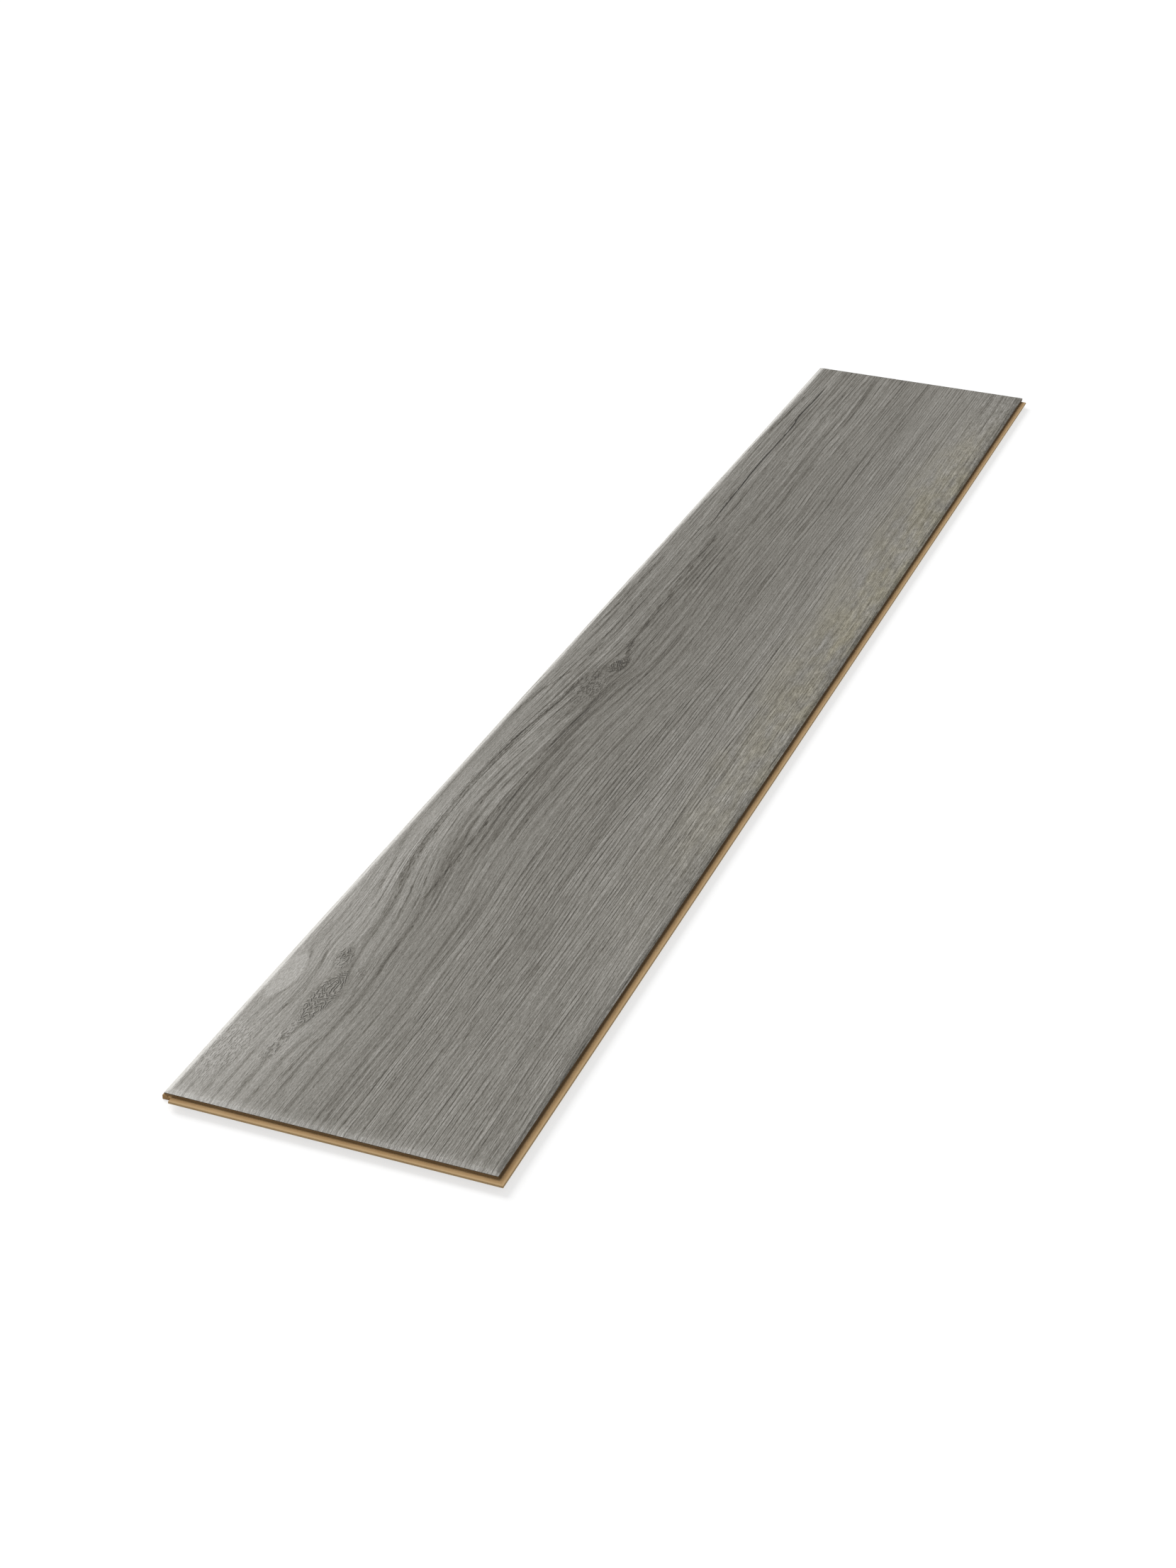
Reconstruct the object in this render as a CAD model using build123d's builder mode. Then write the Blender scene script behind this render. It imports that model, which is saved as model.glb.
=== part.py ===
from build123d import *
import os

# Laminate floor plank, lying face up. Millimetres, +Z up. The origin is on the underside, below the
# middle of the face. Length runs along Y and width along X. The tongues are on the +X side and the
# -Y end, the grooves with their locking lips on the -X side and the +Y end.

# Board
face_length = 1285.0
face_width = 192.0
thickness = 8.0

# Decor skin, pressed over a bevel along all four edges of the face
decor_thickness = 0.4
bevel_width = 2.6
bevel_drop = 1.0

# Click profile, measured out from the joint line where two faces meet
fit_clearance = 0.1  # between a tongue and the groove it clicks into
tongue_depth = 2.7  # from the face down to the tongue's upper side
tongue_reach = 4.6
tongue_fall = 0.2  # by which the upper side slopes down to the nose
nose_height = 1.1
belly_depth = 5.7  # from the face down to the tongue's lowest line
belly_start = 0.5  # near and far edge of the belly's flat
belly_end = 1.9
lip_reach = 2.8  # of the lower lip, past the joint line
ridge_height = 0.8  # of the locking ridge on the lip, above its channel

# Rounding of the milled corners
root_radius = 0.2
nose_radius = 0.45
belly_radius = 0.6
ridge_radius = 0.3
foot_radius = 0.4

# Heights above the underside
core_top_z = thickness - decor_thickness
core_edge_z = core_top_z - bevel_drop
tongue_z = thickness - tongue_depth
nose_z = tongue_z - tongue_fall - nose_height
belly_z = thickness - belly_depth


def milled_edge(joint_x, inward, gap):
    """Corners of one milled edge, from the core's top down to its underside, with the radius of each.

    Both halves of the joint follow this line. The groove keeps the gap from it and the tongue has none.
    """
    lock_z = belly_z + ridge_height - gap
    lip_x = joint_x - lip_reach - fit_clearance + gap
    return [
        ((joint_x + inward * bevel_width, core_top_z), 0),
        ((joint_x, core_edge_z), 0),
        ((joint_x, tongue_z + gap), root_radius),
        ((joint_x + tongue_reach + gap, tongue_z - tongue_fall + gap), nose_radius),
        ((joint_x + tongue_reach + gap, nose_z - gap), nose_radius),
        ((joint_x + belly_end, belly_z - gap), belly_radius),
        ((joint_x + belly_start, belly_z - gap), ridge_radius),
        ((joint_x + belly_start - ridge_height, lock_z), ridge_radius),
        ((lip_x, lock_z), ridge_radius),
        ((lip_x, 0), foot_radius),
    ]


def core_section(face_size):
    """Corners round a section of the core, with its groove on the left and its tongue on the right."""
    groove = milled_edge(-face_size / 2, 1, fit_clearance)
    tongue = milled_edge(face_size / 2, -1, 0)
    return groove + tongue[::-1]


# Fibreboard core: milled along both long sides, then across both ends
long_plane = Plane.XZ
end_plane = Plane(origin=(0, 0, 0), x_dir=(0, -1, 0), z_dir=(-1, 0, 0))
run_out = tongue_reach + lip_reach

with BuildPart() as hdf_core:
    for plane, across, along, mode in (
        (long_plane, face_width, face_length, Mode.ADD),
        (end_plane, face_length, face_width, Mode.INTERSECT),
    ):
        section = core_section(across)
        with BuildSketch(plane):
            with BuildLine():
                FilletPolyline(
                    [corner for corner, radius in section],
                    radius=[radius for corner, radius in section],
                    close=True,
                )
            make_face()
        extrude(amount=along / 2 + run_out, both=True, mode=mode)
    # Two corners where a tongue ends at a groove: it stops square there, clear of the next plank's tongue
    for side, cut_x, cut_y in ((-1, tongue_reach, lip_reach), (1, lip_reach, tongue_reach)):
        middle_x = side * (face_width + run_out - cut_x) / 2
        middle_y = side * (face_length + run_out - cut_y) / 2
        with BuildSketch():
            with Locations((middle_x, middle_y)):
                Rectangle(run_out + cut_x, run_out + cut_y)
        extrude(amount=tongue_z, mode=Mode.SUBTRACT)

# Decor skin: a bevelled slab, less the same slab one skin deeper
with BuildPart() as decor_layer:
    with BuildSketch(Plane.XY.offset(core_edge_z)):
        Rectangle(face_width, face_length)
    extrude(amount=decor_thickness)
    for top_z, mode in ((thickness, Mode.ADD), (core_top_z, Mode.SUBTRACT)):
        with BuildSketch(Plane.XY.offset(top_z - bevel_drop)):
            Rectangle(face_width, face_length)
        with BuildSketch(Plane.XY.offset(top_z)):
            Rectangle(face_width - 2 * bevel_width, face_length - 2 * bevel_width)
        loft(mode=mode)

hdf_core.part.label = "hdf_core"
decor_layer.part.label = "decor_layer"

os.makedirs("parts", exist_ok=True)
export_step(hdf_core.part, "parts/hdf_core.step")
export_step(decor_layer.part, "parts/decor_layer.step")
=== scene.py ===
"""The laminate floor plank's looks: a grey wood-grain decor face on a milled fibreboard core."""
import math

import bpy
import bmesh
import numpy as np
from mathutils import Matrix, Vector, noise


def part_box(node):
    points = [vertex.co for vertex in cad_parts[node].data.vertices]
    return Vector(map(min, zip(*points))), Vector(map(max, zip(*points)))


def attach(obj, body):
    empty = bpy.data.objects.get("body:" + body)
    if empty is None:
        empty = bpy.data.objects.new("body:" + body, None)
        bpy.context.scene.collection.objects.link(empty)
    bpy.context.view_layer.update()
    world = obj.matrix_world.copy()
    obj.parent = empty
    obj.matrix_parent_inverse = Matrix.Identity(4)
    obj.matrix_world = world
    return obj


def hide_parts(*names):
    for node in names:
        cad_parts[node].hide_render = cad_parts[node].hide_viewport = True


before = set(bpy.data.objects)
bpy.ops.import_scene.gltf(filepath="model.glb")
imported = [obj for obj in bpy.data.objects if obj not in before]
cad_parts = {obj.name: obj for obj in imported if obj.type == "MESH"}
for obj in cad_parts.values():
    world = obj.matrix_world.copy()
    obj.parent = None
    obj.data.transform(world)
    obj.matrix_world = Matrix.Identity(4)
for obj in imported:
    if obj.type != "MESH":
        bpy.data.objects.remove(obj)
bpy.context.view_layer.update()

MM = 0.001
WHITE = (1, 1, 1, 1)

decor_low, decor_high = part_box("decor_layer")
core_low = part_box("hdf_core")[0]

# The decor face in millimetres: across from the grooved long side, along from the tongued end.
FACE_WIDTH = (decor_high.x - decor_low.x) / MM
FACE_LENGTH = (decor_high.y - decor_low.y) / MM
FACE_HEIGHT = decor_high.z / MM
BEVEL_WIDTH = 2.6
BEVEL_DROP = 1.0
BEVEL_FOOT = FACE_HEIGHT - BEVEL_DROP
DECOR_THICKNESS = BEVEL_FOOT - decor_low.z / MM

# The embossed face's grid. Its rows stand closer beside the two dark knots.
GRAIN_COLUMNS = 232
GRAIN_ROWS = 398
CLOSER_ROWS = 1.5
CLOSER_REACH = 75.0
ROW_PLACES = 400
# How deep the rows of pores and the knots are pressed into it, and how far inside the bevels that
# begins, in millimetres.
PORE_ROW_DEPTH = 0.08
KNOT_DEPTH = 0.05
PRESS_MARGIN = 0.01


def tint(red, green, blue):
    """A colour written as it looks on screen, 0 to 255, as the linear values that shaders take."""

    def linear(level):
        level /= 255
        return level / 12.92 if level <= 0.04045 else ((level + 0.055) / 1.055) ** 2.4

    return (linear(red), linear(green), linear(blue), 1)


class Web:
    """Places shader nodes in one tree. Any input takes a number, a tuple or another node's output."""

    def __init__(self, tree):
        self.tree = tree

    def feed(self, socket, value):
        if isinstance(value, bpy.types.NodeSocket):
            self.tree.links.new(value, socket)
        else:
            socket.default_value = value

    def put(self, kind, inputs=None, **settings):
        node = self.tree.nodes.new(kind)
        for name, value in settings.items():
            setattr(node, name, value)
        for key, value in (inputs or {}).items():
            self.feed(node.inputs[key], value)
        return node

    def calc(self, operation, *values):
        node = self.put("ShaderNodeMath", operation=operation)
        for socket, value in zip(node.inputs, values):
            self.feed(socket, value)
        return node.outputs[0]

    def add(self, first, *others):
        for other in others:
            first = self.calc("ADD", first, other)
        return first

    def times(self, first, *others):
        for other in others:
            first = self.calc("MULTIPLY", first, other)
        return first

    def less(self, first, second):
        return self.calc("SUBTRACT", first, second)

    def fade(self, value, start, end):
        """0 before start, 1 after end and smooth between; start above end turns it round."""
        node = self.put(
            "ShaderNodeMapRange",
            {"Value": value, "From Min": start, "From Max": end},
            interpolation_type="SMOOTHSTEP",
        )
        return node.outputs[0]

    def noise(self, vector, detail=2.0, roughness=0.5):
        """Noise about 0, mostly between -0.3 and 0.3."""
        node = self.put(
            "ShaderNodeTexNoise",
            {"Vector": vector, "Scale": 1.0, "Detail": detail, "Roughness": roughness},
        )
        return self.less(node.outputs[0], 0.5)

    def streaks(self, across, along, width, length, seed, detail, roughness):
        """Noise whose grains are width by length, in the units of across and along."""
        vector = self.put(
            "ShaderNodeCombineXYZ",
            {"X": self.times(across, 1 / width), "Y": self.times(along, 1 / length), "Z": seed},
        )
        return self.noise(vector.outputs[0], detail, roughness)

    def curve(self, value, points):
        """A smooth line through (value, result) points, given in order of value."""
        low_in, high_in = points[0][0], points[-1][0]
        low_out = min(point[1] for point in points)
        high_out = max(point[1] for point in points)
        place = self.put(
            "ShaderNodeMapRange", {"Value": value, "From Min": low_in, "From Max": high_in}
        )
        node = self.put("ShaderNodeFloatCurve", {"Value": place.outputs[0]})
        handles = node.mapping.curves[0].points
        scaled = [
            ((x - low_in) / (high_in - low_in), (y - low_out) / (high_out - low_out))
            for x, y in points
        ]
        handles[0].location, handles[1].location = scaled[0], scaled[-1]
        for x, y in scaled[1:-1]:
            handles.new(x, y)
        node.mapping.update()
        return self.add(self.times(node.outputs[0], high_out - low_out), low_out)

    def ramp(self, value, stops):
        """A colour ramp through (position, colour) stops."""
        node = self.put("ShaderNodeValToRGB", {"Fac": value})
        elements = node.color_ramp.elements
        while len(elements) < len(stops):
            elements.new(0.5)
        for element, (position, colour) in zip(elements, stops):
            element.position, element.color = position, colour
        return node.outputs[0]

    def blend(self, factor, under, over, mode="MIX"):
        node = self.put("ShaderNodeMix", data_type="RGBA", blend_type=mode)
        self.feed(node.inputs[0], factor)
        self.feed(node.inputs[6], under)
        self.feed(node.inputs[7], over)
        return node.outputs[2]


def node_group(name, inputs, outputs):
    """An empty shader node group with float sockets: the group, its web, its inputs and its outputs."""
    group = bpy.data.node_groups.new(name, "ShaderNodeTree")
    for socket_name, default in inputs:
        socket = group.interface.new_socket(socket_name, in_out="INPUT", socket_type="NodeSocketFloat")
        socket.default_value = default
    for socket_name in outputs:
        group.interface.new_socket(socket_name, in_out="OUTPUT", socket_type="NodeSocketFloat")
    web = Web(group)
    given = web.put("NodeGroupInput").outputs
    result = web.put("NodeGroupOutput").inputs
    return group, web, given, result


def place_group(web, group, inputs):
    """One use of a node group, with its own values."""
    return web.put("ShaderNodeGroup", inputs, node_tree=group).outputs


# A cloud of fibre is as large as a speck divided by this.
SPECKS_TO_CLOUD = 0.13


def speckle_group():
    """Fine specks and soft clouds of fibre."""
    group, web, given, result = node_group(
        "speckle", [("X", 0), ("Y", 0), ("Z", 0), ("Size", 1)], ["Specks", "Clouds"]
    )
    scale = web.calc("DIVIDE", 1.0, given["Size"])
    place = web.put(
        "ShaderNodeCombineXYZ",
        {axis: web.times(given[axis], scale) for axis in "XYZ"},
    ).outputs[0]
    far = web.put(
        "ShaderNodeVectorMath", {0: place, 1: (SPECKS_TO_CLOUD,) * 3}, operation="MULTIPLY"
    )
    web.feed(result["Specks"], web.noise(place, detail=1.0))
    web.feed(result["Clouds"], web.noise(far.outputs[0], detail=3.0))
    return group


# A grain line's full darkness in half widths from its middle, how ragged it is, and how many
# millimetres its start and its end taper over.
GRAIN_LINE_DARK = 0.2
GRAIN_LINE_RAGGED = 1.6
GRAIN_LINE_START = 90.0
GRAIN_LINE_END = 40.0


def grain_line_group():
    """A thin dark line along the grain, broken here and there, between two places on the board."""
    group, web, given, result = node_group(
        "grain line",
        [("Offset", 0), ("Along", 0), ("Start", 0), ("End", 100), ("Half width", 1), ("Broken", 0)],
        ["Line"],
    )
    distance = web.calc("DIVIDE", web.calc("ABSOLUTE", given["Offset"]), given["Half width"])
    reach = web.add(web.times(given["Broken"], GRAIN_LINE_RAGGED), 1.0)
    line = web.fade(distance, reach, GRAIN_LINE_DARK)
    ends = web.times(
        web.fade(given["Along"], given["Start"], web.add(given["Start"], GRAIN_LINE_START)),
        web.fade(given["Along"], given["End"], web.less(given["End"], GRAIN_LINE_END)),
    )
    web.feed(result["Line"], web.times(line, ends))
    return group


speckle = speckle_group()
grain_line = grain_line_group()

# The printed board's figure, in millimetres: along from the tongued end, across from the grooved side.
# The run of the grain beside the two knots, as (along, across): it leans to the grooved side between
# them and straightens out after the second.
GRAIN_RUN = (
    (0, 36), (60, 36), (120, 37), (172, 33.5), (212, 32), (240, 29), (262, 25.5), (287, 22),
    (321, 19), (384, 17), (421, 18), (461, 20.5), (496, 23), (528, 26), (566, 29), (597, 32),
    (642, 34), (700, 34.5), (800, 34.5), (900, 34.5), (1026, 33.5), (1285, 33),
)
GRAIN_HOME = 36.0
# How far the grain follows that run, as (across, share).
GRAIN_LEAN = (
    (0, 0.4), (12, 0.8), (22, 1.0), (32, 0.95), (48, 0.66), (65, 0.6), (90, 0.42), (105, 0.3),
    (140, 0.1), (192, 0.0),
)

# Knots and a pale eye, as (across, along, half width, half length, lean, curls, levels lighter). The
# first two are the dark knots.
KNOTS = (
    (38, 118, 7.5, 33, 0.03, 1.0, -11),
    (44.5, 596, 5.5, 14, 0.2, 1.0, -15),
    (9, 130, 8.5, 27, 0.0, 0.0, 16),
    (31.5, 160, 5, 13, -0.15, 0.8, -3),
)
# A knot's form: how rounded its sides are, where its body and its dark rim fade, in half widths, how
# far the rim shows on average, how many levels it darkens, and how much of the grain the body hides.
KNOT_ROUNDNESS = 1.2
KNOT_BODY = (1.05, 0.8)
KNOT_RIM_OUTSIDE = (1.5, 1.15)
KNOT_RIM_INSIDE = (0.8, 1.05)
KNOT_RIM_SHARE = 0.7
KNOT_RIM_LEVELS = 20
KNOT_HIDES = 0.85

# The growth rings and the finer lines between them, from one to the next. The lines stand closer on
# the tongued half, as (across, spacing), and are counted up in equal steps.
RING_SPACING = 6.4
LINE_SPACING = ((-30, 3.1), (35, 3.3), (55, 3.7), (75, 3.3), (95, 2.5), (120, 2.3), (240, 2.3))
LINE_STEPS = 541

# How strongly the grain shows, as (along, share).
FIGURE_STRENGTH = ((0, 0.95), (230, 1.0), (330, 1.3), (600, 1.3), (720, 1.1), (950, 1.2), (1285, 1.4))

# Rows of dark pores along the grain, as (points of along and across, half width, darker levels).
PORE_ROWS = (
    # From the large knot to the small one.
    (((160, 31), (172, 32), (212, 32.5), (240, 29), (262, 25), (287, 22)), 1.5, 10),
    (((240, 29), (262, 25), (287, 22), (321, 19), (384, 17), (421, 18), (461, 20.5), (496, 23),
      (528, 26), (566, 29.5), (585, 35)), 2.2, 22),
    # The one that leaves over the grooved side, and the one that comes back from it.
    (((215, 20.5), (240, 17), (262, 14), (282, 10.5), (325, 5)), 1.5, 12),
    (((470, 4.5), (496, 5), (521, 7), (541, 10), (558, 14), (573, 17.5), (642, 20.5), (750, 19)),
     1.5, 10),
    # Out of the small knot.
    (((600, 48), (612, 45), (634, 41), (662, 40)), 1.8, 12),
    # Bent under the small knot.
    (((466, 36), (500, 37.5), (535, 40), (570, 42)), 1.6, 5),
    (((225, 47.5), (320, 46.4), (400, 46.2)), 1.1, 8),
    # Into the large knot and bent under it.
    (((0, 36.5), (45, 35.5), (92, 35.5)), 1.4, 8),
    (((30, 44), (50, 44), (85, 50), (120, 53), (150, 49.5), (175, 46)), 1.4, 7),
    (((20, 51), (60, 53), (115, 59), (165, 56), (230, 52)), 1.2, 6),
    # Arched round the pale eye.
    (((72, 11), (92, 20), (107, 24.5), (137, 24), (162, 19), (190, 11)), 1.1, 10),
    (((98, 4), (107, 11), (117, 16), (135, 17.5), (150, 14), (178, 5)), 1.1, 10),
    (((20, 24), (45, 16), (66, 9)), 1.2, 8),
    # In the far half.
    (((640, 7.4), (700, 8.6), (810, 11)), 1.6, 9),
    (((1080, 5.8), (1150, 8), (1220, 10.6)), 1.6, 9),
    (((640, 40), (740, 38), (870, 35)), 2.8, 4),
)
# How many millimetres a row takes to fade in at its ends, where its sides and the grit beside it fade,
# in half widths, and the darkness of a row with all its grit.
ROW_FADE = 25
ROW_SIDES = (1.3, 0.2)
ROW_GRIT = (2.4, 0.6)
ROW_FULL_GRIT = 45

# Thin open lines, as (points of along and across, half width, darker levels).
CHECKS = (
    (((842, 25), (877, 24.2), (917, 23), (963, 22), (1026, 20.7), (1076, 21.2), (1123, 21.2),
      (1138, 19.6), (1158, 19.2), (1188, 20), (1240, 20.5)), 0.9, 110),
    (((630, 103.7), (740, 100.5), (840, 98.4), (942, 100.2), (1100, 99.5), (1265, 102.3)), 0.8, 18),
)
# How far they waver with the flecks of the print.
CHECK_WAVER = 0.9

# Soft places, as (across, along, half width, half length, levels lighter).
PATCHES = (
    (31, 166, 4, 7, -8), (34, 582, 6, 12, -12), (41, 631, 2.5, 6, -20), (37, 556, 9, 30, -15),
    (47, 150, 4, 9, -4), (12, 56, 10, 24, 7), (38.5, 430, 2.6, 60, 12), (32, 60, 30, 90, 2),
    (31, 330, 8, 160, -5), (49, 480, 9, 300, -14), (10, 500, 22, 900, 5),
    # The broad lighter place at across 6, along 60 is a painted sheen towards the grooved side of the
    # tongued half.
    (60, 430, 60, 520, -4), (6, 60, 48, 330, 26), (60, 0, 130, 150, 3), (162, 880, 34, 620, 8),
    (70, 800, 46, 330, -5), (13, 340, 14, 150, 9), (182, 760, 9, 560, 5), (50, 70, 12, 60, 7),
    (57, 400, 8, 120, -6), (7, 880, 6, 80, -8), (96, 1230, 150, 260, 2),
    (115, 310, 26, 360, -3), (20, 420, 16, 420, 3), (62, 90, 24, 90, 3),
    (178, 530, 16, 130, -3), (176, 1200, 16, 120, 2),
)

# Places pressed full of short pits, as (across, along, half width, half length, strength).
PITS = (
    (36, 66, 4.5, 24, 1.0), (12, 50, 12, 34, 0.7), (32, 160, 6, 12, 0.6), (47, 148, 3, 8, 0.7),
    (38, 556, 11, 28, 1.0), (41.5, 632, 3, 8, 1.0), (44, 596, 7, 16, 0.5),
)
# How much of the grain they hide.
PITS_HIDE = 0.6

# Zones of the board as (bands across, bands along). A zone begins at a band's first place and is in
# full from its second on.
ZONES = {
    # The half with the knots, and where its grain is drawn out into pale and dark strands.
    "knotty": (((80, 40),), ()),
    "strands": (((80, 40),), ((120, 230),)),
    # Calmer beside the large knot, with wider streaks.
    "calm": (((100, 75),), ((290, 180),)),
    # Quiet outside the long row of pores, along the grooved side.
    "quiet": (((20, 11),), ((230, 300), (560, 480))),
    # Finer grain and fainter rings on the tongued half, and rough wood along its side.
    "fine": (((70, 105),), ((1000, 300),)),
    "faint rings": (((70, 105),), ((1100, 600),)),
    "rough": (((140, 176),), ((180, 460),)),
    # Between the two halves, past the small knot, and all but the bevel of the tongued end.
    "middle": (((42, 54), (108, 84)), ((200, 260), (760, 680))),
    "far half": ((), ((560, 760),)),
    "past the end": ((), ((2, 14),)),
}
# How much each zone adds to the strength of a mark.
ZONE_GAINS = {
    "print": {"strands": 0.4, "fine": 0.3, "calm": -0.25},
    "rings": {"calm": 0.3, "faint rings": -0.45},
    "lines": {"knotty": -0.5, "strands": 0.05},
}
# The shares that zones take from the fine lines, one after another.
LINE_LOSSES = {"rough": 0.55, "fine": 0.25, "far half": 0.22, "calm": 0.2, "middle": 0.35, "quiet": 0.4}
# What the quiet zone takes from the strands and from the print, and the share of the print that is
# left at the tongued end.
QUIET_STRANDS = 0.7
QUIET_PRINT = 0.3
END_PRINT = 0.8
# Levels of the soft streaks along the grain: narrow ones, with more in strands, and broad ones, with
# more in the calm zone.
NARROW_STREAKS = 2.5
STRAND_STREAKS = 4
BROAD_STREAKS = 3
CALM_STREAKS = 4

# Layers of soft noise as (width, length, seed, strength) of their clouds.
CLOUDS = {
    "wide sway": (40, 260, 1.7, 1.3),
    "fine sway": (8, 70, 2.3, 0.5),
    "knot edge": (5, 11, 7.7, 0.2),
    "knot rim": (9, 15, 3.3, 1),
    "row waver": (7, 24, 4.1, 0.9),
    "narrow streaks": (3.4, 210, 2.9, 1),
    "broad streaks": (9, 400, 4.4, 1),
    "ring sway": (22, 700, 5.2, 1.3),
    "ring depth": (7, 150, 8.8, 1),
    "line sway": (8, 190, 6.1, 1.2),
    "line depth": (4.2, 95, 9.4, 1),
}
# From which cloud on the rings and the lines begin to show, and where they are in full.
RING_CLOUDS = (-0.3, 0.4)
LINE_CLOUDS = (-0.95, 0.25)


def ease(value, start, end):
    """0 before start, 1 after end and smooth between; start above end turns it round."""
    share = np.clip((value - start) / (end - start), 0, 1)
    return share * share * (3 - 2 * share)


def follow(points, places):
    """A smooth line through (place, value) points, read at many places."""
    given, values = np.array(points, float).T
    slopes = np.gradient(values, given)
    cell = np.clip(np.searchsorted(given, places) - 1, 0, len(given) - 2)
    step = given[cell + 1] - given[cell]
    t = np.clip((places - given[cell]) / step, 0, 1)
    return (
        (1 + 2 * t) * (1 - t) ** 2 * values[cell]
        + t * (1 - t) ** 2 * step * slopes[cell]
        + t * t * (3 - 2 * t) * values[cell + 1]
        + t * t * (t - 1) * step * slopes[cell + 1]
    )


def board_figure(across, along):
    """The figure of the wood at each place: what the print and the embossing both follow."""

    def clouds(name, sideways):
        width, length, seed, strength = CLOUDS[name]
        return strength * np.array([
            noise.noise((a / width, b / length, seed)) for a, b in zip(sideways, along)
        ])

    def zone(bands_across, bands_along):
        share = np.ones_like(across)
        for start, end in bands_across:
            share *= ease(across, start, end)
        for start, end in bands_along:
            share *= ease(along, start, end)
        return share

    def spread(spot_across, spot_along, half_width, half_length):
        """The square of the distance from a spot, with 1 at its half width or half length."""
        return ((across - spot_across) / half_width) ** 2 + ((along - spot_along) / half_length) ** 2

    zones = {name: zone(*bands) for name, bands in ZONES.items()}
    zones["strands"] *= 1 - QUIET_STRANDS * zones["quiet"]

    def gain(mark):
        return 1 + sum(share * zones[name] for name, share in ZONE_GAINS[mark].items())

    run = follow(GRAIN_RUN, along) - GRAIN_HOME
    grain = across - run * follow(GRAIN_LEAN, across)
    grain += clouds("wide sway", across) + clouds("fine sway", across)
    tone = np.zeros_like(across)
    knots = np.zeros_like(across)
    rows = np.zeros_like(across)
    gritty = np.zeros_like(across)
    plain = np.ones_like(across)

    knot_edge = clouds("knot edge", across)
    rim_share = KNOT_RIM_SHARE + clouds("knot rim", across)
    for knot_across, knot_along, half_width, half_length, lean, curls, levels in KNOTS:
        v = along - knot_along
        u = across - knot_across - lean * v
        # The grain runs round the knot as water runs round a stone.
        grain -= u / (1 + (u / half_width) ** 2 + (v / half_length) ** 2)
        leaf = np.abs(u / half_width) ** KNOT_ROUNDNESS + (v / half_length) ** 2 + knot_edge
        body = ease(leaf, *KNOT_BODY)
        rim = ease(leaf, *KNOT_RIM_OUTSIDE) * ease(leaf, *KNOT_RIM_INSIDE) * rim_share
        tone += levels * body - KNOT_RIM_LEVELS * curls * np.clip(rim, 0, 1)
        knots = np.maximum(knots, curls * body)
        plain = np.minimum(plain, 1 - KNOT_HIDES * body)

    waver = clouds("row waver", across)
    for points, half_width, levels in PORE_ROWS:
        offset = np.abs(across - follow(points, along) + waver) / half_width
        start, end = points[0][0], points[-1][0]
        ends = ease(along, start, start + ROW_FADE) * ease(along, end, end - ROW_FADE)
        row = ease(offset, *ROW_SIDES) * ends
        rows = np.maximum(rows, row)
        gritty = np.maximum(gritty, ease(offset, *ROW_GRIT) * ends * min(1, levels / ROW_FULL_GRIT))
        tone -= levels * row

    for *spot, strength in PITS:
        pitted = strength * np.exp(-spread(*spot) ** 2)
        gritty = np.maximum(gritty, pitted)
        plain = np.minimum(plain, 1 - PITS_HIDE * pitted)
    for *spot, levels in PATCHES:
        tone += levels * np.exp(-spread(*spot))

    strength = follow(FIGURE_STRENGTH, along)
    narrow = (NARROW_STREAKS + STRAND_STREAKS * zones["strands"]) * clouds("narrow streaks", grain)
    broad = (BROAD_STREAKS + CALM_STREAKS * zones["calm"]) * clouds("broad streaks", grain)
    tone += strength * (broad + narrow)

    plain *= END_PRINT + (1 - END_PRINT) * zones["past the end"]
    plain *= 1 - QUIET_PRINT * zones["quiet"]
    ring_depth = plain * gain("rings") * ease(clouds("ring depth", grain), *RING_CLOUDS)
    line_depth = plain * strength * gain("lines") * ease(clouds("line depth", grain), *LINE_CLOUDS)
    for name, share in LINE_LOSSES.items():
        line_depth *= 1 - share * zones[name]

    # Rings and lines are running counts, with one at each whole number.
    rings = grain / RING_SPACING + clouds("ring sway", grain)
    places = np.linspace(LINE_SPACING[0][0], LINE_SPACING[-1][0], LINE_STEPS)
    counts = np.cumsum((places[1] - places[0]) / follow(LINE_SPACING, places))
    lines = np.interp(grain, places, counts) + clouds("line sway", grain)
    return {
        "grain": grain,
        "tone": tone,
        "knots": knots,
        "plain": plain * gain("print"),
        "rings": rings,
        "ring_depth": ring_depth,
        "lines": lines,
        "line_depth": line_depth,
        "pore_rows": rows,
        "gritty": gritty,
        "relief": PORE_ROW_DEPTH * rows + KNOT_DEPTH * knots,
    }


def boundary(bm):
    return [edge for edge in bm.edges if edge.is_boundary]


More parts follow.
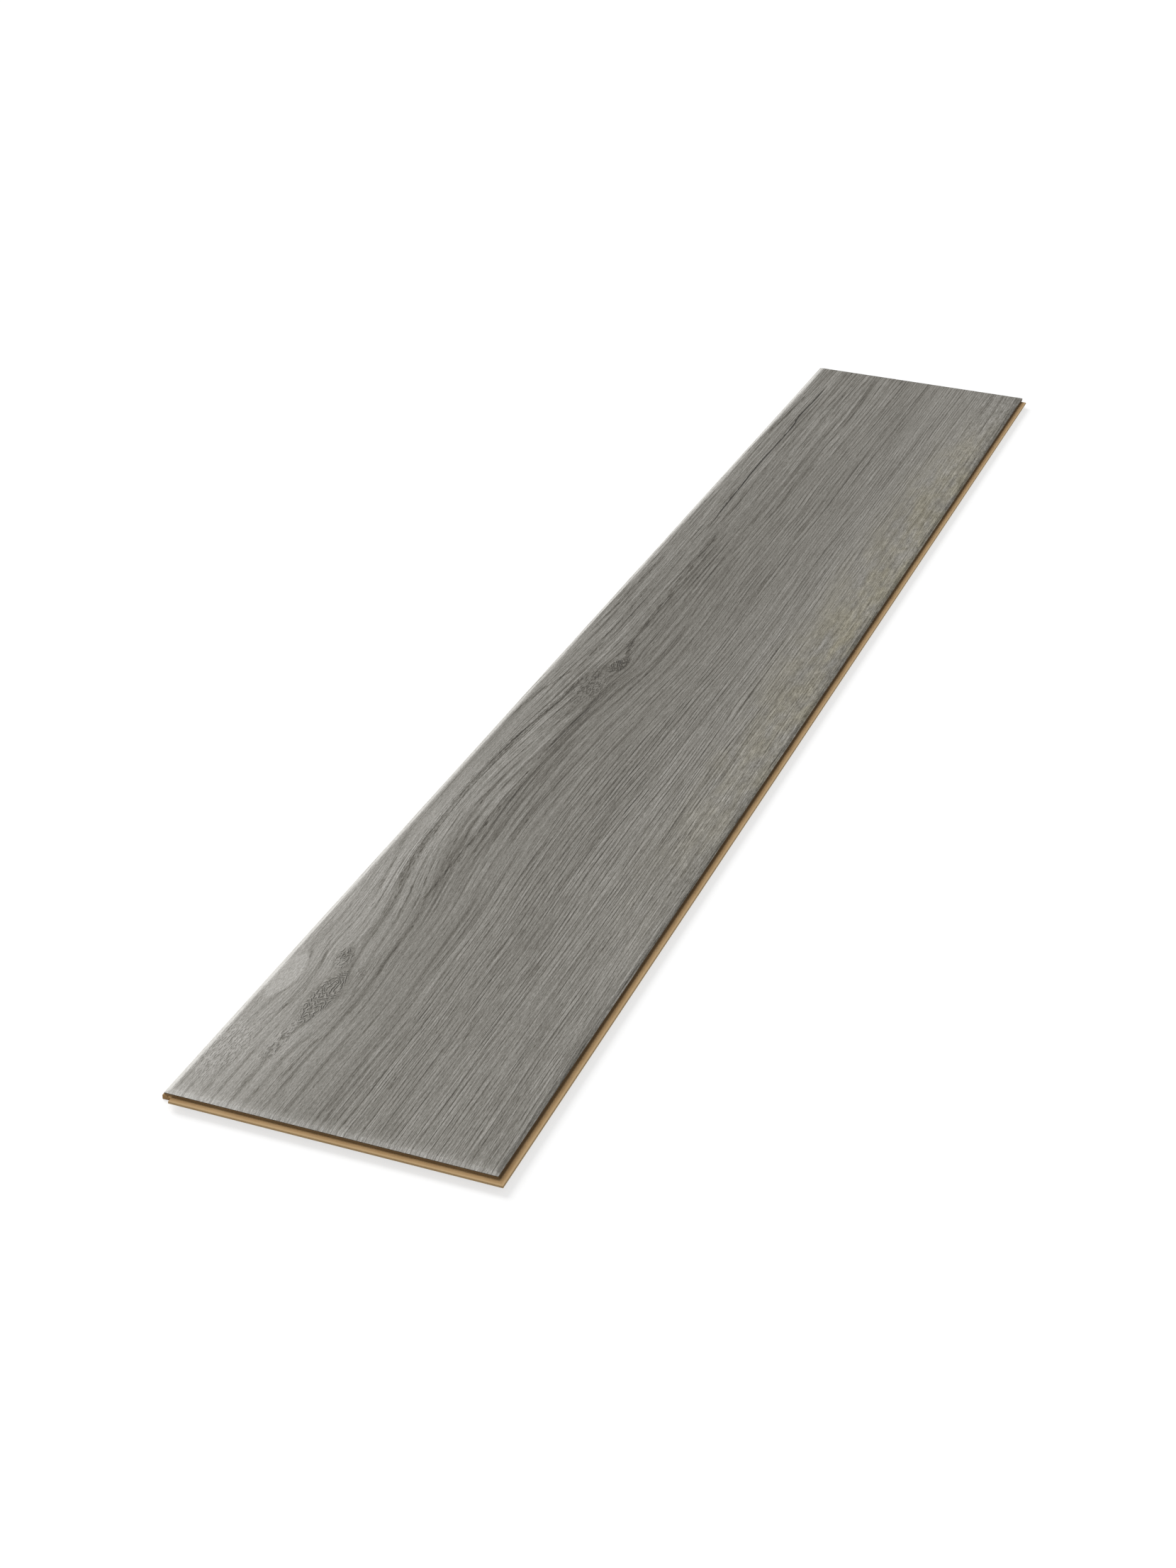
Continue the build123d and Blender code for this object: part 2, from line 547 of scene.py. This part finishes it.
def decor_mesh():
    """The decor layer: a fine grid on top, its bevels, its cut edge and its underside."""
    flat_width, flat_length = FACE_WIDTH - 2 * BEVEL_WIDTH, FACE_LENGTH - 2 * BEVEL_WIDTH
    bm = bmesh.new()
    bmesh.ops.create_grid(bm, x_segments=GRAIN_COLUMNS, y_segments=GRAIN_ROWS, size=0.5)
    places = np.linspace(0, FACE_LENGTH, ROW_PLACES)
    density = 1.0 + CLOSER_ROWS * sum(
        np.exp(-(((places - along) / CLOSER_REACH) ** 2)) for _, along, *_ in KNOTS[:2]
    )
    spread = np.cumsum(density)
    spread = (spread - spread[0]) / (spread[-1] - spread[0]) - 0.5
    for vert in bm.verts:
        vert.co.y = np.interp(vert.co.y, spread, places / FACE_LENGTH - 0.5)
    bmesh.ops.scale(bm, vec=(flat_width * MM, flat_length * MM, 1), verts=bm.verts)
    bmesh.ops.translate(bm, vec=(0, 0, FACE_HEIGHT * MM), verts=bm.verts)
    for face in bm.faces:
        face.smooth = True

    wider, longer = FACE_WIDTH / flat_width, FACE_LENGTH / flat_length
    for grow, rise in (
        ((wider, longer, 1), -BEVEL_DROP),
        ((1, 1, 1), -DECOR_THICKNESS),
        ((1 / wider, 1 / longer, 1), BEVEL_DROP),
    ):
        rim = boundary(bm)
        for edge in rim:
            edge.smooth = False
        made = bmesh.ops.extrude_edge_only(bm, edges=rim)["geom"]
        verts = [item for item in made if isinstance(item, bmesh.types.BMVert)]
        bmesh.ops.scale(bm, vec=grow, verts=verts)
        bmesh.ops.translate(bm, vec=(0, 0, rise * MM), verts=verts)
    bmesh.ops.contextual_create(bm, geom=boundary(bm))
    bmesh.ops.recalc_face_normals(bm, faces=bm.faces)
    mesh = bpy.data.meshes.new("embossed_decor")
    bm.to_mesh(mesh)
    bm.free()
    return mesh


def press_grain(mesh):
    """Presses pore rows and knots into the face, and keeps the figure as attributes of the mesh."""
    points = np.empty(len(mesh.vertices) * 3)
    mesh.vertices.foreach_get("co", points)
    points = points.reshape(-1, 3)
    fields = board_figure((points[:, 0] - decor_low.x) / MM, (points[:, 1] - decor_low.y) / MM)
    relief = fields.pop("relief")
    edge = np.minimum(
        np.minimum(points[:, 0] - decor_low.x, decor_high.x - points[:, 0]),
        np.minimum(points[:, 1] - decor_low.y, decor_high.y - points[:, 1]),
    ) / MM
    # Only the flat of the face, inside its bevels, is pressed.
    on_top = points[:, 2] > (FACE_HEIGHT - 0.5 * BEVEL_DROP) * MM
    on_top &= edge > BEVEL_WIDTH + PRESS_MARGIN
    points[:, 2] -= np.where(on_top, relief * MM, 0)
    mesh.vertices.foreach_set("co", points.ravel())
    for name, values in fields.items():
        mesh.attributes.new(name, "FLOAT", "POINT").data.foreach_set("value", values)
    mesh.update()


def embossed_decor():
    """The decor layer with its pressed grain, in place of the plain one."""
    mesh = decor_mesh()
    press_grain(mesh)
    decor = bpy.data.objects.new("embossed_decor", mesh)
    bpy.context.scene.collection.objects.link(decor)
    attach(decor, "root")
    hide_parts("decor_layer")
    return decor


def start_material(name):
    material = bpy.data.materials.new(name)
    material.use_nodes = True
    web = Web(material.node_tree)
    shader = material.node_tree.nodes["Principled BSDF"]
    return material, web, shader


def board_place(web):
    """Across and along the face and height over the floor, in millimetres."""
    coordinate = web.put("ShaderNodeTexCoord").outputs["Object"]
    mapping = web.put(
        "ShaderNodeMapping",
        {
            "Vector": coordinate,
            "Location": (-decor_low.x / MM, -decor_low.y / MM, 0),
            "Scale": (1 / MM, 1 / MM, 1 / MM),
        },
    )
    place = web.put("ShaderNodeSeparateXYZ", {0: mapping.outputs[0]}).outputs
    return place["X"], place["Y"], place["Z"]


# Layers of streaks in the print, as (width, length, seed, detail, roughness) of their grains.
STREAKS = {
    "breaks": (2.4, 34, 25.5, 1.0, 0.5),
    "fibres": (0.9, 70, 10.5, 1.0, 0.6),
    "strokes": (0.8, 14, 13.5, 1.0, 0.5),
    "grit": (0.7, 2.0, 15.5, 1.0, 0.5),
    "pits": (0.9, 3.4, 21.5, 1.0, 0.5),
    "flecks": (1.8, 7.5, 15.5, 2.0, 0.6),
    "turns": (5.0, 10.0, 23.5, 1.5, 0.5),
    "yellow": (9, 40, 17.5, 2.0, 0.5),
}
# The print's level, 0 to 255 as seen on screen, and what its grain is lifted by. Then how many levels
# each mark lightens it by, and how many millimetres each mark stands out. A check has these for each of
# its own levels.
PRINT_LEVEL = 116.6
GRAIN_LIFT = 4.0
LEVELS = {
    "rings": -18.0, "lines": -42.0, "fibres": 50.0, "strokes": 41.0, "pores": -27.0, "pits": -34.0,
    "grit": 50.0, "curls": 12.0, "flecks": 84.0, "checks": -1.0, "side shade": -5.0, "end highlight": 20.0,
}
RISES = {
    "rings": -0.1, "lines": -0.12, "fibres": 0.2, "strokes": 0.2, "pores": -0.05, "pits": -0.34,
    "grit": 0.28, "curls": 0.3, "knots": 0.3, "flecks": 0.36, "checks": -0.004,
}
# Half widths of rings and lines in their own spacing, and the part of that in full. Then how far the
# lines waver, where they break off, and the share of the face that they take up.
RING_WIDTH = 0.25
LINE_WIDTH = 0.22
LINE_MIDDLE = 0.03
LINE_WAVER = 0.3
LINE_BREAKS = (-0.22, 0.06)
LINE_SHARE = 0.25
# Where pits come out of their layer, and the share of the face that they take up.
PIT_SIDES = (-0.1, 0.16)
PIT_SHARE = 0.35
# Where pores come out of the strokes, how much sooner in a row of them, how much of that in a ring,
# and how soft their sides are.
PORE_START = 0.17
PORE_ROW_GAIN = 0.2
PORE_RING_SHARE = 0.45
PORE_SOFT = 0.1
# Curls in a knot for each millimetre along and across, and how far they turn.
CURLS_ALONG = 0.22
CURLS_ACROSS = 0.18
CURL_TURN = 6.5
# The rough wood along the tongued side and its yellow tinge, from where each begins to where it is in
# full.
ROUGH_ACROSS = (140.0, 180.0)
ROUGH_ALONG = (180.0, 460.0)
YELLOW_ACROSS = (132.0, 184.0)
YELLOW_NEAR = (160.0, 700.0)
YELLOW_FAR = (1280.0, 1020.0)
YELLOW_CLOUDS = (-0.3, 0.25)
YELLOW_SHARE = 0.95
YELLOW_TINGE = (1.08, 1.04, 0.86, 1)
# The bevels. A painted highlight on the grooved side's bevel grows wider and paler along the board.
SIDE_HIGHLIGHT_WIDTH, SIDE_HIGHLIGHT_WIDENS, SIDE_HIGHLIGHT_FULL = 4.2, 0.0019, 1.5
SIDE_HIGHLIGHT_LEVELS, SIDE_HIGHLIGHT_LIGHTENS = 45.0, 0.016
# Painted shade on the tongued side's bevel.
SIDE_SHADE = (FACE_WIDTH - 3.0, FACE_WIDTH - 0.5)
# A painted highlight over the tongued end and its bevel.
END_HIGHLIGHT = (11.0, 0.0)
END_HIGHLIGHT_BEVEL = (3.4, 2.2)
# The decor's colours, from its darkest to its palest level, and the edge where the layer is cut.
DECOR_GREYS = (
    (0.20, tint(52, 48, 42)),
    (0.36, tint(94, 90, 82)),
    (0.50, tint(130, 127, 120)),
    (0.62, tint(160, 157, 151)),
    (0.80, tint(206, 204, 199)),
)
CUT_EDGE = (BEVEL_FOOT + 0.02, BEVEL_FOOT - 0.04)
CUT_EDGE_BROWN = tint(86, 78, 66)
# The decor's roughness, and what the pores and the fibres add to it.
DECOR_ROUGHNESS = 0.6
PORE_ROUGHNESS = 0.14
FIBRE_ROUGHNESS = 0.12
DECOR_SPECULAR = 0.22


def decor_print():
    """The printed and embossed face: rings, fibres, pores, knots and checks, over the board's figure."""
    material, web, shader = start_material("decor print")
    across, along, height = board_place(web)

    def field(name):
        return web.put("ShaderNodeAttribute", attribute_name=name).outputs["Fac"]

    def layer(name, sideways):
        return web.streaks(sideways, along, *STREAKS[name])

    def thin_line(count, half_width):
        """1 on each whole number of a running count, and 0 from half_width of it away."""
        return web.fade(web.calc("PINGPONG", count, 0.5), half_width, LINE_MIDDLE)

    grain, plain, knots = field("grain"), field("plain"), field("knots")
    rings = web.times(thin_line(field("rings"), RING_WIDTH), field("ring_depth"))
    # The lines waver and break off, and darken as much as the ridges between them brighten.
    breaks = layer("breaks", grain)
    line_count = web.add(field("lines"), web.times(breaks, LINE_WAVER))
    line_strength = web.times(web.fade(breaks, *LINE_BREAKS), field("line_depth"))
    lines = web.times(web.less(thin_line(line_count, LINE_WIDTH), LINE_SHARE), line_strength)
    fibres = layer("fibres", grain)
    strokes = layer("strokes", grain)
    grit = layer("grit", across)
    pits = web.less(web.fade(layer("pits", grain), *PIT_SIDES), PIT_SHARE)
    pits = web.times(pits, field("gritty"))
    # Pores are where the strokes are strongest. There are more of them in their rows and on the rings.
    pore_zone = web.calc("MAXIMUM", field("pore_rows"), web.times(rings, PORE_RING_SHARE))
    pore_start = web.less(PORE_START, web.times(pore_zone, PORE_ROW_GAIN))
    pores = web.times(web.fade(strokes, pore_start, web.add(pore_start, PORE_SOFT)), plain)

    # The rough wood along the tongued side.
    rough_side = web.times(web.fade(across, *ROUGH_ACROSS), web.fade(along, *ROUGH_ALONG))
    flecks = layer("flecks", grain)

    # The knots are filled with fine curls that cross them.
    curl_count = web.add(
        web.times(along, CURLS_ALONG),
        web.times(across, CURLS_ACROSS),
        web.times(layer("turns", across), CURL_TURN),
    )
    curls = web.times(web.calc("SINE", web.times(curl_count, math.tau)), knots)

    checks = 0.0
    for points, half_width, levels in CHECKS:
        offset = web.add(web.less(across, web.curve(along, points)), web.times(flecks, CHECK_WAVER))
        check = place_group(web, grain_line, {
            "Offset": offset, "Along": along, "Start": points[0][0], "End": points[-1][0],
            "Half width": half_width, "Broken": flecks,
        })["Line"]
        checks = web.add(web.times(check, levels), checks)

    # The bevels: a painted highlight on the grooved side and the tongued end, painted shade on the
    # tongued side.
    highlight_width = web.add(web.times(along, SIDE_HIGHLIGHT_WIDENS), SIDE_HIGHLIGHT_WIDTH)
    highlight_levels = web.add(web.times(along, SIDE_HIGHLIGHT_LIGHTENS), SIDE_HIGHLIGHT_LEVELS)
    side_highlight = web.times(web.fade(across, highlight_width, SIDE_HIGHLIGHT_FULL), highlight_levels)
    # Painted shade darkens the tongued side's bevel.
    side_shade = web.fade(across, *SIDE_SHADE)
    # A painted highlight over the tongued end and its bevel.
    end_highlight = web.add(web.fade(along, *END_HIGHLIGHT), web.fade(along, *END_HIGHLIGHT_BEVEL))

    marks = {
        "rings": rings, "lines": lines, "fibres": fibres, "strokes": strokes, "pores": pores,
        "pits": pits, "grit": grit, "curls": curls, "knots": knots,
        "flecks": web.times(rough_side, flecks), "checks": checks,
        "side shade": side_shade, "end highlight": end_highlight,
    }

    def weigh(weights, *names):
        return [web.times(marks[name], weights[name]) for name in names]

    grain_levels = web.add(*weigh(LEVELS, "rings", "lines", "fibres", "strokes"), GRAIN_LIFT)
    level = web.add(
        PRINT_LEVEL,
        field("tone"),
        web.times(plain, grain_levels),
        *weigh(LEVELS, "pores", "pits", "grit", "curls", "flecks", "checks"),
        side_highlight,
        *weigh(LEVELS, "side shade", "end highlight"),
    )
    colour = web.ramp(web.times(level, 1 / 255), DECOR_GREYS)
    yellow = web.times(
        web.fade(across, *YELLOW_ACROSS),
        web.fade(along, *YELLOW_NEAR),
        web.fade(along, *YELLOW_FAR),
        web.fade(layer("yellow", grain), *YELLOW_CLOUDS),
        YELLOW_SHARE,
    )
    colour = web.blend(yellow, colour, web.blend(1.0, colour, YELLOW_TINGE, "MULTIPLY"))
    colour = web.blend(web.fade(height, *CUT_EDGE), colour, CUT_EDGE_BROWN)
    web.feed(shader.inputs["Base Color"], colour)

    relief = web.add(
        web.times(plain, web.add(*weigh(RISES, "fibres", "strokes"))),
        *weigh(RISES, "grit", "pores", "pits", "rings", "lines", "curls", "knots", "flecks", "checks"),
    )
    bump = web.put("ShaderNodeBump", {"Strength": 1.0, "Distance": MM, "Height": relief})
    web.feed(shader.inputs["Normal"], bump.outputs[0])
    roughness = web.add(
        DECOR_ROUGHNESS, web.times(pores, PORE_ROUGHNESS), web.times(fibres, FIBRE_ROUGHNESS)
    )
    web.feed(shader.inputs["Roughness"], roughness)
    shader.inputs["Specular IOR Level"].default_value = DECOR_SPECULAR
    return material


# The fibreboard's specks and tufts, and its cutter lines, in millimetres.
FIBRE_SIZE = 0.7
TUFT_SIZE = 2.6
CUTTER_WIDTH = 0.5
CUTTER_LENGTH = 55.0
CUTTER_LAYERS = 3.0
SIDE_SEED = 2.0
END_SEED = 9.0
# How far inside the ends the end faces are, from where they begin to where they are full.
END_FACE = (1.5, 0.5)
# The middle of a colour ramp, and how far specks, clouds, tufts and cutter lines move the board from it.
RAMP_MIDDLE = 0.5
BOARD_MARKS = {"specks": 0.22, "clouds": 0.22, "tufts": 0.5, "cutter": 0.15}
BOARD_TANS = (
    (0.10, tint(136, 102, 62)),
    (0.40, tint(167, 133, 89)),
    (0.60, tint(181, 148, 104)),
    (0.90, tint(206, 178, 136)),
)
# The dark top of the board, by height over the floor, with less of it at the ends: partly the board's
# own darker top fibre, partly painted shade under the decor's edge.
DENSE_AND_SHADE_HEIGHT = (4.9, 5.7)
DENSE_AND_SHADE_WAVER = 0.5
DENSE_AND_SHADE_SHARE = 0.8
DENSE_AND_SHADE_AT_ENDS = 0.5
DENSE_AND_SHADE_BROWN = tint(114, 94, 70)
# Painted shadow on the tongues' tops by their root and a painted highlight on their nose, by the reach
# out from the face's edge.
ROOT_SHADOW_OUTSIDE = (1.7, 0.2)
ROOT_SHADOW_INSIDE = (-0.2, 0.0)
ROOT_SHADOW_SHARE = 0.6
ROOT_SHADOW_AT_ENDS = 0.3
ROOT_SHADOW_BROWN = tint(96, 74, 48)
NOSE_HIGHLIGHT = (2.6, 3.8)
NOSE_HIGHLIGHT_SHARE = 0.6
NOSE_HIGHLIGHT_TAN = tint(190, 163, 122)
# The plain paper on the underside, by height over the floor.
UNDERSIDE = (0.06, 0.02)
BACKING_TUFTS = 0.8
BACKING_SPECKS = 0.3
BACKING_GREYS = ((0.2, tint(170, 160, 142)), (0.8, tint(196, 187, 170)))
# The board's bump and gloss.
BOARD_BUMP = 0.4
BOARD_BUMP_DEPTH = 0.1
BOARD_BUMP_SPECKS = 0.7
BOARD_ROUGHNESS = 0.78
CLOUD_ROUGHNESS = 0.2
UNDERSIDE_ROUGHNESS = -0.12
BOARD_SPECULAR = 0.25


def milled_fibreboard():
    """Tan fibreboard: fibres, cutter lines, a dark top partly of painted shade, tongues with a painted
    shadow and highlight, and a plain underside.
    """
    material, web, shader = start_material("milled fibreboard")
    across, along, height = board_place(web)
    place = {"X": across, "Y": along, "Z": height}
    fibre = place_group(web, speckle, {**place, "Size": FIBRE_SIZE})
    tufts = place_group(web, speckle, {**place, "Size": TUFT_SIZE})

    end_face = web.add(
        web.fade(along, *END_FACE),
        web.fade(along, *[FACE_LENGTH - inside for inside in END_FACE]),
    )

    def cutter(width, length, seed):
        vector = web.put(
            "ShaderNodeCombineXYZ",
            {
                "X": web.times(across, 1 / width),
                "Y": web.times(along, 1 / length),
                "Z": web.add(web.times(height, CUTTER_LAYERS), seed),
            },
        )
        return web.noise(vector.outputs[0])

    side_lines = cutter(CUTTER_WIDTH, CUTTER_LENGTH, SIDE_SEED)
    end_lines = cutter(CUTTER_LENGTH, CUTTER_WIDTH, END_SEED)
    cutter_lines = web.add(
        web.times(side_lines, web.less(1.0, end_face)), web.times(end_lines, end_face)
    )

    level = web.add(
        RAMP_MIDDLE,
        web.times(fibre["Specks"], BOARD_MARKS["specks"]),
        web.times(fibre["Clouds"], BOARD_MARKS["clouds"]),
        web.times(tufts["Clouds"], BOARD_MARKS["tufts"]),
        web.times(cutter_lines, BOARD_MARKS["cutter"]),
    )
    colour = web.ramp(level, BOARD_TANS)
    # A darker top: partly the board's own colour, partly painted shade under the decor's edge.
    dense_and_shade = web.fade(web.add(height, web.times(fibre["Clouds"], DENSE_AND_SHADE_WAVER)), *DENSE_AND_SHADE_HEIGHT)
    dense_and_shade = web.times(dense_and_shade, DENSE_AND_SHADE_SHARE, web.less(1.0, web.times(end_face, DENSE_AND_SHADE_AT_ENDS)))
    colour = web.blend(dense_and_shade, colour, DENSE_AND_SHADE_BROWN)

    reach = web.calc("MAXIMUM", web.less(across, FACE_WIDTH), web.times(along, -1.0))
    # Painted shadow on the tongue's top by its root, where the body above shades it.
    root = web.times(web.fade(reach, *ROOT_SHADOW_OUTSIDE), web.fade(reach, *ROOT_SHADOW_INSIDE))
    root = web.times(root, web.less(ROOT_SHADOW_SHARE, web.times(end_face, ROOT_SHADOW_AT_ENDS)))
    colour = web.blend(root, colour, ROOT_SHADOW_BROWN)
    # A painted highlight on the tongue's nose.
    nose = web.times(web.fade(reach, *NOSE_HIGHLIGHT), NOSE_HIGHLIGHT_SHARE)
    colour = web.blend(nose, colour, NOSE_HIGHLIGHT_TAN)

    underside = web.fade(height, *UNDERSIDE)
    backing = web.add(
        RAMP_MIDDLE,
        web.times(tufts["Clouds"], BACKING_TUFTS),
        web.times(fibre["Specks"], BACKING_SPECKS),
    )
    colour = web.blend(underside, colour, web.ramp(backing, BACKING_GREYS))
    web.feed(shader.inputs["Base Color"], colour)

    relief = web.add(web.times(fibre["Specks"], BOARD_BUMP_SPECKS), cutter_lines)
    bump = web.put(
        "ShaderNodeBump",
        {"Strength": BOARD_BUMP, "Distance": BOARD_BUMP_DEPTH * MM, "Height": relief},
    )
    web.feed(shader.inputs["Normal"], bump.outputs[0])
    roughness = web.add(
        BOARD_ROUGHNESS,
        web.times(fibre["Clouds"], CLOUD_ROUGHNESS),
        web.times(underside, UNDERSIDE_ROUGHNESS),
    )
    web.feed(shader.inputs["Roughness"], roughness)
    shader.inputs["Specular IOR Level"].default_value = BOARD_SPECULAR
    return material


# The floor: half its size in metres, its gap under the board in millimetres, the grey that it throws
# light back with, and the grey and the glow that show it nearly white.
FLOOR_HALF = 30
FLOOR_GAP = 0.02
FLOOR_GREY = (0.8, 0.8, 0.8, 1)
FLOOR_SHOWN_GREY = (0.34, 0.34, 0.34, 1)
FLOOR_GLOW = 0.7


def pale_floor():
    """A plain pale floor: white to the camera, apart from the shadow on it."""
    bm = bmesh.new()
    bmesh.ops.create_grid(bm, x_segments=1, y_segments=1, size=FLOOR_HALF)
    bmesh.ops.translate(bm, verts=bm.verts, vec=(0, 0, core_low.z - FLOOR_GAP * MM))
    mesh = bpy.data.meshes.new("floor")
    bm.to_mesh(mesh)
    bm.free()
    floor = bpy.data.objects.new("floor", mesh)
    bpy.context.scene.collection.objects.link(floor)

    material = bpy.data.materials.new("pale floor")
    material.use_nodes = True
    web = Web(material.node_tree)
    web.tree.nodes.clear()
    matt = web.put("ShaderNodeBsdfDiffuse", {"Color": FLOOR_GREY})
    soft = web.put("ShaderNodeBsdfDiffuse", {"Color": FLOOR_SHOWN_GREY})
    glow = web.put("ShaderNodeEmission", {"Color": WHITE, "Strength": FLOOR_GLOW})
    shown = web.put("ShaderNodeAddShader", {0: soft.outputs[0], 1: glow.outputs[0]})
    rays = web.put("ShaderNodeLightPath").outputs
    seen = web.calc("MAXIMUM", rays["Is Camera Ray"], rays["Is Glossy Ray"])
    either = web.put("ShaderNodeMixShader", {0: seen, 1: matt.outputs[0], 2: shown.outputs[0]})
    web.put("ShaderNodeOutputMaterial", {"Surface": either.outputs[0]})
    mesh.materials.append(material)


# The surround's strength, and the soft key light: towards it, its width in degrees and its strength.
SURROUND_STRENGTH = 0.38
TOWARDS_KEY = (-0.66, 0.40, 0.63)
KEY_WIDTH = 40
KEY_STRENGTH = 3.1


def studio_light():
    """One large soft light from the upper left and an even surround."""
    world = bpy.data.worlds.new("studio")
    bpy.context.scene.world = world
    world.use_nodes = True
    web = Web(world.node_tree)
    web.tree.nodes.clear()
    surround = web.put("ShaderNodeBackground", {"Color": WHITE, "Strength": SURROUND_STRENGTH})
    white = web.put("ShaderNodeBackground", {"Color": WHITE, "Strength": 1.0})
    rays = web.put("ShaderNodeLightPath").outputs
    either = web.put(
        "ShaderNodeMixShader",
        {0: rays["Is Camera Ray"], 1: surround.outputs[0], 2: white.outputs[0]},
    )
    web.put("ShaderNodeOutputWorld", {"Surface": either.outputs[0]})

    light = bpy.data.lights.new("soft key", "SUN")
    light.angle = math.radians(KEY_WIDTH)
    light.energy = KEY_STRENGTH
    key = bpy.data.objects.new("soft key", light)
    key.rotation_mode = "QUATERNION"
    key.rotation_quaternion = Vector(TOWARDS_KEY).to_track_quat("Z", "Y")
    bpy.context.scene.collection.objects.link(key)


# The photograph's viewpoint, in millimetres and degrees, and how near and far it sees, in metres.
CAMERA_AIM = (-9.5, -223.1, 7.0)
CAMERA_DISTANCE = 1738.4
CAMERA_TURN = 19.166
CAMERA_TILT = 28.064
CAMERA_ROLL = -2.232
CAMERA_LENS = 60.898
CAMERA_SENSOR = 36.0
CAMERA_NEAR = 0.05
CAMERA_FAR = 100.0


def photo_camera():
    """The photograph's viewpoint: from over the tongued end and a little to the tongued side."""
    aim = Vector(CAMERA_AIM) * MM
    turn, tilt = math.radians(CAMERA_TURN), math.radians(CAMERA_TILT)
    back = Vector((math.sin(turn) * math.cos(tilt), -math.cos(turn) * math.cos(tilt), math.sin(tilt)))
    data = bpy.data.cameras.new("photo camera")
    data.sensor_width = CAMERA_SENSOR
    data.lens = CAMERA_LENS
    data.clip_start, data.clip_end = CAMERA_NEAR, CAMERA_FAR
    camera = bpy.data.objects.new("photo camera", data)
    facing = back.to_track_quat("Z", "Y").to_matrix().to_4x4()
    place = Matrix.Translation(aim + back * (CAMERA_DISTANCE * MM))
    camera.matrix_world = place @ facing @ Matrix.Rotation(-math.radians(CAMERA_ROLL), 4, "Z")
    bpy.context.scene.collection.objects.link(camera)
    bpy.context.scene.camera = camera


def paint(node, material):
    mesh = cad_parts[node].data
    mesh.materials.clear()
    mesh.materials.append(material)


embossed_decor().data.materials.append(decor_print())
paint("hdf_core", milled_fibreboard())
pale_floor()
studio_light()
photo_camera()
bpy.context.scene.view_settings.view_transform = "Standard"
